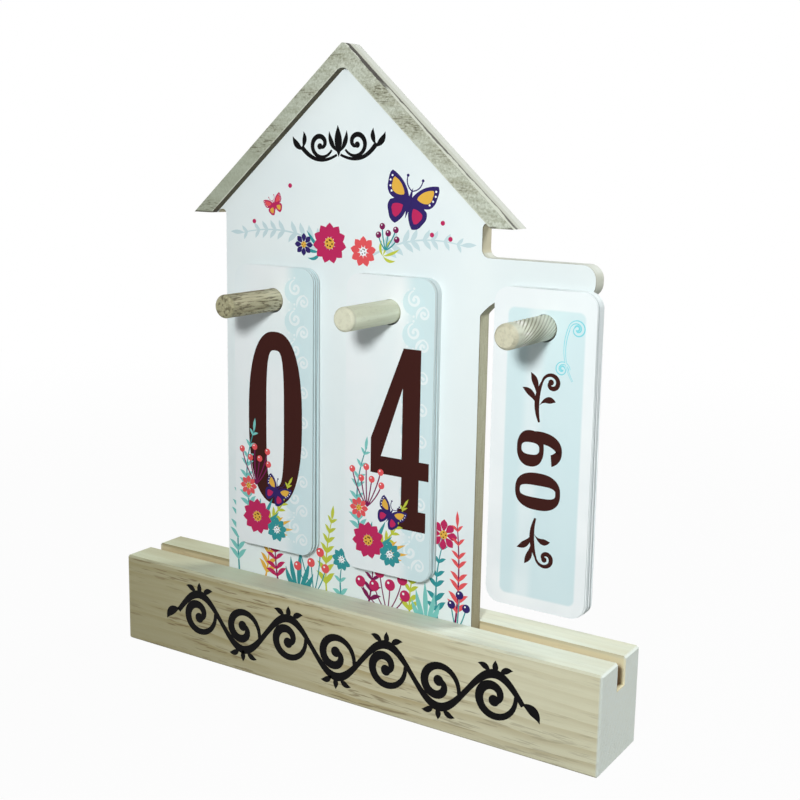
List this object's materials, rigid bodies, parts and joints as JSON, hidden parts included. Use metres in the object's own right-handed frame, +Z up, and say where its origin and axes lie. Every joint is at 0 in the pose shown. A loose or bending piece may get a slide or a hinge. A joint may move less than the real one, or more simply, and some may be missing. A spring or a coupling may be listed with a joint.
{
  "type": "desk calendar",
  "caption": "Perpetual desk calendar: a house-shaped panel with a side arm stands in a grooved wooden base and carries hanging number and month cards on wooden pegs.",
  "frame": {"origin": "middle of the underside of the base", "axes": "+X along the base to the viewer's right, +Y to the back, +Z up; the cards face -Y"},
  "size_m": [0.2, 0.0486, 0.2252],
  "materials": {
    "pine": "bare planed pine",
    "white_board": "white faced fibreboard",
    "trim_board": "speckled fibreboard",
    "dowel": "bare dowel",
    "card_stock": "coated card"
  },
  "bodies": {
    "base": {"base_block": "pine"},
    "house": {"house_panel": "white_board", "roof_trim": "trim_board", "peg_tens": "dowel", "peg_units": "dowel", "peg_month": "dowel"},
    "tens_card_0": {"tens_card_0": "card_stock"},
    "tens_card_1": {"tens_card_1": "card_stock"},
    "tens_card_2": {"tens_card_2": "card_stock"},
    "tens_card_3": {"tens_card_3": "card_stock"},
    "units_card_4": {"units_card_4": "card_stock"},
    "units_card_5": {"units_card_5": "card_stock"},
    "units_card_6": {"units_card_6": "card_stock"},
    "units_card_7": {"units_card_7": "card_stock"},
    "units_card_8": {"units_card_8": "card_stock"},
    "units_card_9": {"units_card_9": "card_stock"},
    "units_card_0": {"units_card_0": "card_stock"},
    "units_card_1": {"units_card_1": "card_stock"},
    "units_card_2": {"units_card_2": "card_stock"},
    "units_card_3": {"units_card_3": "card_stock"},
    "month_card_09": {"month_card_09": "card_stock"},
    "month_card_10": {"month_card_10": "card_stock"},
    "month_card_11": {"month_card_11": "card_stock"},
    "month_card_12": {"month_card_12": "card_stock"},
    "month_card_01": {"month_card_01": "card_stock"},
    "month_card_02": {"month_card_02": "card_stock"},
    "month_card_03": {"month_card_03": "card_stock"},
    "month_card_04": {"month_card_04": "card_stock"},
    "month_card_05": {"month_card_05": "card_stock"},
    "month_card_06": {"month_card_06": "card_stock"},
    "month_card_07": {"month_card_07": "card_stock"},
    "month_card_08": {"month_card_08": "card_stock"}
  },
  "joints": [
    {"name": "house_lift", "type": "slide", "parent": "base", "child": "house", "axis": [0, 0, 1], "range_m": [0, 0.025]},
    {"name": "tens_card_0_pull", "type": "slide", "parent": "house", "child": "tens_card_0", "axis": [0, -1, 0], "range_m": [0, 0.0309]},
    {"name": "tens_card_1_swing", "type": "hinge", "parent": "house", "child": "tens_card_1", "pos_m": [-0.0341, -0.0026, 0.1383], "axis": [0, 1, 0], "range_deg": [-3.5, 90]},
    {"name": "tens_card_2_swing", "type": "hinge", "parent": "house", "child": "tens_card_2", "pos_m": [-0.0341, -0.0026, 0.1383], "axis": [0, 1, 0], "range_deg": [-3.5, 90]},
    {"name": "tens_card_3_swing", "type": "hinge", "parent": "house", "child": "tens_card_3", "pos_m": [-0.0341, -0.0026, 0.1383], "axis": [0, 1, 0], "range_deg": [-3.5, 90]},
    {"name": "units_card_4_pull", "type": "slide", "parent": "house", "child": "units_card_4", "axis": [0, -1, 0], "range_m": [0, 0.0311]},
    {"name": "units_card_5_swing", "type": "hinge", "parent": "house", "child": "units_card_5", "pos_m": [0.0148, -0.0026, 0.1383], "axis": [0, 1, 0], "range_deg": [-6, 3.5]},
    {"name": "units_card_6_swing", "type": "hinge", "parent": "house", "child": "units_card_6", "pos_m": [0.0148, -0.0026, 0.1383], "axis": [0, 1, 0], "range_deg": [-6, 3.5]},
    {"name": "units_card_7_swing", "type": "hinge", "parent": "house", "child": "units_card_7", "pos_m": [0.0148, -0.0026, 0.1383], "axis": [0, 1, 0], "range_deg": [-6, 3.5]},
    {"name": "units_card_8_swing", "type": "hinge", "parent": "house", "child": "units_card_8", "pos_m": [0.0148, -0.0026, 0.1383], "axis": [0, 1, 0], "range_deg": [-6, 3.5]},
    {"name": "units_card_9_swing", "type": "hinge", "parent": "house", "child": "units_card_9", "pos_m": [0.0148, -0.0026, 0.1383], "axis": [0, 1, 0], "range_deg": [-6, 3.5]},
    {"name": "units_card_0_swing", "type": "hinge", "parent": "house", "child": "units_card_0", "pos_m": [0.0148, -0.0026, 0.1383], "axis": [0, 1, 0], "range_deg": [-6, 3.5]},
    {"name": "units_card_1_swing", "type": "hinge", "parent": "house", "child": "units_card_1", "pos_m": [0.0148, -0.0026, 0.1383], "axis": [0, 1, 0], "range_deg": [-6, 3.5]},
    {"name": "units_card_2_swing", "type": "hinge", "parent": "house", "child": "units_card_2", "pos_m": [0.0148, -0.0026, 0.1383], "axis": [0, 1, 0], "range_deg": [-6, 3.5]},
    {"name": "units_card_3_swing", "type": "hinge", "parent": "house", "child": "units_card_3", "pos_m": [0.0148, -0.0026, 0.1383], "axis": [0, 1, 0], "range_deg": [-6, 3.5]},
    {"name": "month_card_09_pull", "type": "slide", "parent": "house", "child": "month_card_09", "axis": [0, -1, 0], "range_m": [0, 0.0303]},
    {"name": "month_card_10_swing", "type": "hinge", "parent": "house", "child": "month_card_10", "pos_m": [0.0721, -0.0026, 0.1383], "axis": [0, 1, 0], "range_deg": [-90, 6]},
    {"name": "month_card_11_swing", "type": "hinge", "parent": "house", "child": "month_card_11", "pos_m": [0.0721, -0.0026, 0.1383], "axis": [0, 1, 0], "range_deg": [-90, 6]},
    {"name": "month_card_12_swing", "type": "hinge", "parent": "house", "child": "month_card_12", "pos_m": [0.0721, -0.0026, 0.1383], "axis": [0, 1, 0], "range_deg": [-90, 6]},
    {"name": "month_card_01_swing", "type": "hinge", "parent": "house", "child": "month_card_01", "pos_m": [0.0721, -0.0026, 0.1383], "axis": [0, 1, 0], "range_deg": [-90, 6]},
    {"name": "month_card_02_swing", "type": "hinge", "parent": "house", "child": "month_card_02", "pos_m": [0.0721, -0.0026, 0.1383], "axis": [0, 1, 0], "range_deg": [-90, 6]},
    {"name": "month_card_03_swing", "type": "hinge", "parent": "house", "child": "month_card_03", "pos_m": [0.0721, -0.0026, 0.1383], "axis": [0, 1, 0], "range_deg": [-90, 6]},
    {"name": "month_card_04_swing", "type": "hinge", "parent": "house", "child": "month_card_04", "pos_m": [0.0721, -0.0026, 0.1383], "axis": [0, 1, 0], "range_deg": [-90, 6]},
    {"name": "month_card_05_swing", "type": "hinge", "parent": "house", "child": "month_card_05", "pos_m": [0.0721, -0.0026, 0.1383], "axis": [0, 1, 0], "range_deg": [-90, 6]},
    {"name": "month_card_06_swing", "type": "hinge", "parent": "house", "child": "month_card_06", "pos_m": [0.0721, -0.0026, 0.1383], "axis": [0, 1, 0], "range_deg": [-90, 6]},
    {"name": "month_card_07_swing", "type": "hinge", "parent": "house", "child": "month_card_07", "pos_m": [0.0721, -0.0026, 0.1383], "axis": [0, 1, 0], "range_deg": [-90, 6]},
    {"name": "month_card_08_swing", "type": "hinge", "parent": "house", "child": "month_card_08", "pos_m": [0.0721, -0.0026, 0.1383], "axis": [0, 1, 0], "range_deg": [-90, 6]}
  ]
}
